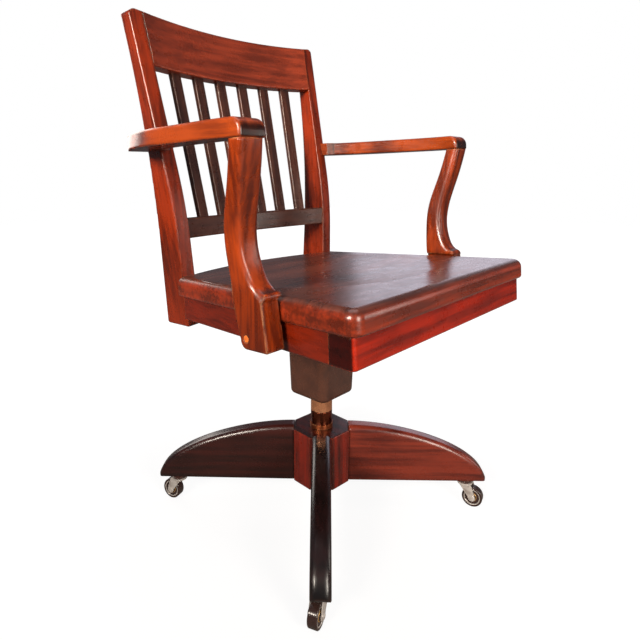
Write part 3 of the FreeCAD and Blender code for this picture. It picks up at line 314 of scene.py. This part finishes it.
def turned_rings(name, place, rings, material, body):
    """Rings of round wire about an axle: each is its radius, its place along the axle and its thickness."""
    model = bmesh.new()
    for radius, along, thick in rings:
        start = []
        for side in range(WIRE_SIDES):
            angle = math.tau * side / WIRE_SIDES
            start.append(model.verts.new((radius + thick * math.cos(angle), 0,
                                          along + thick * math.sin(angle))))
        loop = [model.edges.new((start[i - 1], start[i])) for i in range(len(start))]
        bmesh.ops.spin(model, geom=start + loop, cent=(0, 0, 0), axis=(0, 0, 1), angle=math.tau,
                       steps=RING_SIDES, use_merge=True)
    bmesh.ops.transform(model, matrix=place, verts=model.verts)
    bmesh.ops.recalc_face_normals(model, faces=model.faces)
    for face in model.faces:
        face.smooth = True
    mesh = bpy.data.meshes.new(name)
    model.to_mesh(mesh)
    model.free()
    mesh.materials.append(material)
    ring = bpy.data.objects.new(name, mesh)
    bpy.context.scene.collection.objects.link(ring)
    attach(ring, body)


nickel = metal("bright_nickel", (0.88, 0.84, 0.80, 1), (0.22, 0.15, 0.12, 1), (1.0, 0.98, 0.95, 1),
               amount=0.6, gloss=0.15, metallic=0.45, coat=0.5)
brass = metal("worn_brass", (0.65, 0.40, 0.15, 1), (0.25, 0.13, 0.05, 1), (0.8, 0.6, 0.3, 1),
              gloss=0.2, metallic=0.5)
socket_brown = metal("socket_brown", (0.085, 0.024, 0.016, 1), (0.035, 0.012, 0.010, 1),
                     (0.30, 0.16, 0.11, 1), gloss=0.25, metallic=0.4, coat=0.3)
wheel_skin = metal("dark_hard_rubber", (0.045, 0.022, 0.018, 1), (0.014, 0.008, 0.007, 1),
                   (0.14, 0.09, 0.07, 1), amount=0.7, gloss=0.2, metallic=0.0, coat=0.6)
dress(socket_brown, "caster_sockets")
for name, angle in LEG_TURN.items():
    dress(nickel, "caster_fork_" + name, "caster_axle_" + name)
    dress(wheel_skin, "caster_wheel_" + name)
    stem = Vector((math.cos(math.radians(angle)), math.sin(math.radians(angle)), 0)) * CASTER_RADIUS
    wheel_place = (Matrix.Translation(stem + Vector((0, 0, WHEEL_LEVEL)))
                   @ Matrix.Rotation(math.radians(CASTER_TURN[name]), 4, "Z")
                   @ Matrix.Translation((CASTER_TRAIL, 0, 0)) @ Matrix.Rotation(math.radians(90), 4, "X"))
    rim_rings = [(RIM_RADIUS, side * (WHEEL_HALF - RIM_SUNK), RIM_WIRE) for side in (-1, 1)]
    eyelet_rings = [(EYELET_RADIUS, side * (WHEEL_HALF - EYELET_SUNK), EYELET_WIRE) for side in (-1, 1)]
    turned_rings("wheel_rim_" + name, wheel_place, rim_rings, nickel, "wheel_" + name)
    turned_rings("wheel_eyelet_" + name, wheel_place, eyelet_rings, brass, "wheel_" + name)

# Column
# A sleeve turns in the hub's steel tube and carries a nut, in which a steel screw sets the height. The
# nut and the collar at the neck keep a worn copper plating, and the sleeve's flange is rubbed bright.
steel = metal("oiled_steel", (0.36, 0.34, 0.32, 1), (0.14, 0.11, 0.09, 1), (0.6, 0.58, 0.55, 1),
              amount=0.6)
copper_dark = metal("dark_copper_nut", (0.22, 0.055, 0.026, 1), (0.09, 0.024, 0.014, 1),
                    (0.50, 0.22, 0.12, 1), amount=0.7, gloss=0.22)
copper_gold = metal("golden_copper_collar", (0.55, 0.24, 0.12, 1), (0.24, 0.09, 0.045, 1),
                    (0.8, 0.5, 0.3, 1), amount=0.6, gloss=0.24, metallic=0.6)
copper_bright = metal("bright_copper_flange", (0.42, 0.11, 0.04, 1), (0.16, 0.04, 0.02, 1),
                      (0.75, 0.35, 0.16, 1), amount=0.6, gloss=0.38)
dress(steel, "hub_tube", "spindle", "spindle_lock_nut")
dress(copper_dark, "height_nut")
dress(copper_gold, "spindle_collar")
dress(copper_bright, "bearing_sleeve")

# Tilt housing
# A pressed steel box under brown enamel turns with the spindle. It holds the tilt shaft with its nuts,
# and the spring between the shelf and the cup.
box_paint = metal("brown_box_enamel", (0.095, 0.036, 0.022, 1), (0.038, 0.016, 0.011, 1),
                  (0.32, 0.19, 0.13, 1), amount=0.5, gloss=0.26, metallic=0.2, coat=0.4)
dark_steel = metal("blackened_steel", (0.060, 0.045, 0.038, 1), (0.030, 0.020, 0.017, 1),
                   (0.22, 0.18, 0.16, 1), amount=0.6, gloss=0.4)
dress(box_paint, "mechanism_housing")
dress(steel, "spring_guide", "tilt_shaft", "shaft_nuts", "tilt_spring")
dress(dark_steel, "spring_shelf", "spring_cup", "seat_plate")

# Seat and apron
# The seat is glued up from boards with the grain from side to side, scooped and bull-nosed, and its
# end grain shows at the sides. The redder apron boards under it are glued and blocked at the corners.
seat_wood = timber("seat_wood", (0.15, 0.040, 0.023, 1), (0.050, 0.015, 0.010, 1), "X",
                   worn=(0.45, 0.19, 0.09, 1), figure=0.4, wear=0.75, coat=0.6, coat_roughness=0.26,
                   boards=10.5, end_grain=0.15, sides=(2.1, 0.8, 0.3, 1))
front_wood = timber("apron_front_wood", (0.40, 0.015, 0.001, 1), (0.15, 0.006, 0.001, 1), "X", figure=0.6,
                    wear=0.2, coat=0.12, end_grain=0.92, soften=0.004)
side_wood = timber("apron_side_wood", (0.17, 0.012, 0.002, 1), (0.065, 0.005, 0.001, 1), "Y", figure=0.5)
dress(seat_wood, "seat")
dress(front_wood, "apron_front")
dress(side_wood, "apron_left", "apron_right", "apron_back", "corner_blocks")
dress(steel, "plate_screws")

# Back
# Two sawn posts lean back above the arms. They carry a deep curved crest rail and a lower rail, and
# six flat slats, coloured much darker than the posts and crest, are let into both rails.
post_wood = timber("post_wood", (0.23, 0.021, 0.003, 1), (0.075, 0.007, 0.001, 1), "Z", figure=0.5, lean=-10,
                   soften=0.004)
crest_wood = timber("crest_wood", (0.23, 0.032, 0.012, 1), (0.095, 0.014, 0.006, 1), "X", figure=0.4)
slat_wood = timber("slat_wood", (0.065, 0.022, 0.014, 1), (0.026, 0.009, 0.007, 1), "Z", figure=0.4, lean=-9)
rail_wood = timber("lower_rail_wood", (0.062, 0.020, 0.013, 1), (0.024, 0.008, 0.006, 1), "X", figure=0.4)
dress(post_wood, "back_post_left", "back_post_right")
dress(crest_wood, "crest_rail")
dress(slat_wood, *[f"slat_{number}" for number in range(1, 7)])
dress(rail_wood, "lower_rail")

# Arms
# The arms and their sawn supports are the lightest wood, rubbed to orange. Each support's foot stands
# on a spacer and is screwed to the apron, with a pale plug over the screw's head.
arm_wood = timber("arm_wood", (0.26, 0.036, 0.003, 1), (0.080, 0.009, 0.001, 1), "Y", figure=0.6,
                  end_grain=0.88, soften=0.004)
support_wood = timber("support_wood", (0.27, 0.031, 0.002, 1), (0.085, 0.009, 0.001, 1), "Z", figure=0.6,
                      wear=0.5, coat=0.4, coat_roughness=0.18, soften=0.007, worn=(0.62, 0.28, 0.12, 1))
plug_wood = timber("plug_wood", (0.75, 0.19, 0.035, 1), (0.52, 0.11, 0.02, 1), "X", figure=0.3,
                   end_grain=0.0)
dress(arm_wood, "arm_left", "arm_right", "arm_dowels")
dress(support_wood, "arm_support_left", "arm_support_right", "foot_spacers")
dress(plug_wood, "wood_plugs")
dress(steel, "foot_screws")

# Floor and room
# The chair stands on white paper. The page is darkened only near the chair, where it keeps the soft
# shadow, and the room beyond is plain white to the eye.
PAPER_HALF = 6.0
PAGE_GLOW = 1.12
SHADOW_NEAR, SHADOW_FAR = 0.35, 1.0
GLOW_NEAR = 0.80
AIR_LIGHT = 0.11


def paper_floor():
    """White paper whose own glow fades in, away from the chair."""
    corners = [(-PAPER_HALF, -PAPER_HALF, 0), (PAPER_HALF, -PAPER_HALF, 0),
               (PAPER_HALF, PAPER_HALF, 0), (-PAPER_HALF, PAPER_HALF, 0)]
    mesh = bpy.data.meshes.new("paper_floor")
    mesh.from_pydata(corners, [], [(0, 1, 2, 3)])
    floor = bpy.data.objects.new("paper_floor", mesh)
    bpy.context.scene.collection.objects.link(floor)
    material, tree, output = new_material("white_paper")
    paper = tree.nodes.new("ShaderNodeBsdfDiffuse")
    seen = tree.nodes.new("ShaderNodeLightPath").outputs["Is Camera Ray"]
    fill(tree, paper, {"Color": mixed(tree, seen, (0.30, 0.27, 0.25, 1), (0.9, 0.9, 0.9, 1))})
    page = tree.nodes.new("ShaderNodeEmission")
    fill(tree, page, {"Strength": PAGE_GLOW})
    far = tree.nodes.new("ShaderNodeVectorMath")
    far.operation = "LENGTH"
    fill(tree, far, {0: tree.nodes.new("ShaderNodeTexCoord").outputs["Object"]})
    bare = ranged(tree, far.outputs["Value"], SHADOW_NEAR, SHADOW_FAR, GLOW_NEAR, 1.0)
    mix = tree.nodes.new("ShaderNodeMixShader")
    fill(tree, mix, {0: maths(tree, "MULTIPLY", seen, bare), 1: paper.outputs[0], 2: page.outputs[0]})
    tree.links.new(mix.outputs[0], output.inputs["Surface"])
    floor.data.materials.append(material)


def white_room():
    """Plain white to the eye, and a dim cool daylight as a light."""
    world = bpy.data.worlds.new("white_room")
    bpy.context.scene.world = world
    world.use_nodes = True
    tree = world.node_tree
    tree.nodes.clear()
    output = tree.nodes.new("ShaderNodeOutputWorld")
    seen = tree.nodes.new("ShaderNodeLightPath").outputs["Is Camera Ray"]
    page = tree.nodes.new("ShaderNodeBackground")
    fill(tree, page, {"Color": (1, 1, 1, 1), "Strength": 1.0})
    air = tree.nodes.new("ShaderNodeBackground")
    fill(tree, air, {"Color": (0.86, 0.88, 1.0, 1), "Strength": AIR_LIGHT})
    mix = tree.nodes.new("ShaderNodeMixShader")
    fill(tree, mix, {0: seen, 1: air.outputs[0], 2: page.outputs[0]})
    tree.links.new(mix.outputs[0], output.inputs["Surface"])


paper_floor()
white_room()

# Lights
# A warm low sun comes through a window on the left, and softer windows stand beside the camera and to
# its right. Cool light from behind puts a pale sheen on the seat, and the sky lights it from above.


def window(name, place, target, width, height, power, colour, spread=180):
    """A rectangular window light that faces a point of the chair."""
    light = bpy.data.lights.new(name, "AREA")
    light.shape = "RECTANGLE"
    light.size = width
    light.size_y = height
    light.energy = power
    light.color = colour
    light.spread = math.radians(spread)
    lamp = bpy.data.objects.new(name, light)
    lamp.location = place
    lamp.rotation_euler = (Vector(target) - Vector(place)).to_track_quat("-Z", "Y").to_euler()
    lamp.visible_camera = False
    bpy.context.scene.collection.objects.link(lamp)


CHAIR_MIDDLE = (0, 0, 0.5)
window("left_window", (-2.1, -0.35, 1.5), (-0.2, 0, 0.88), 0.8, 0.8, 10, (1.0, 0.90, 0.78), spread=42)
window("camera_window", (-0.6, -2.3, 1.0), CHAIR_MIDDLE, 0.7, 1.3, 42, (1.0, 0.91, 0.80))
window("right_window", (1.25, -1.5, 0.72), (-0.2, -0.2, 0.5), 0.35, 0.75, 4, (1.0, 0.90, 0.82))
window("back_window", (2.75, 0.95, 1.1), (0, 0, 0.45), 2.0, 1.0, 8, (0.90, 0.86, 1.0))
window("rear_window", (0.2, 2.6, 1.3), (0, 0, 0.55), 1.4, 1.2, 16, (1.0, 0.93, 0.86))
window("sky_light", (0.1, 0.1, 2.6), CHAIR_MIDDLE, 1.6, 1.6, 12, (0.93, 0.94, 1.0))

# Camera
# A wide lens stands close to the chair's right front corner and looks down by a few degrees. The frame
# is shifted down and a little to the right, so that the chair fills it from crest to wheel.
CAMERA_PLACE = (-0.7428, -0.6531, 0.6472)
CAMERA_PITCH = 6.37
CAMERA_YAW = 42.76
camera_data = bpy.data.cameras.new("camera")
camera_data.sensor_width = 36.0
camera_data.lens = 30.18
camera_data.shift_x = 0.0178
camera_data.shift_y = -0.1433
camera = bpy.data.objects.new("camera", camera_data)
camera.location = CAMERA_PLACE
camera.rotation_euler = (math.radians(90 - CAMERA_PITCH), 0, math.radians(CAMERA_YAW - 90))
bpy.context.scene.collection.objects.link(camera)
bpy.context.scene.camera = camera
bpy.context.scene.view_settings.view_transform = "Standard"
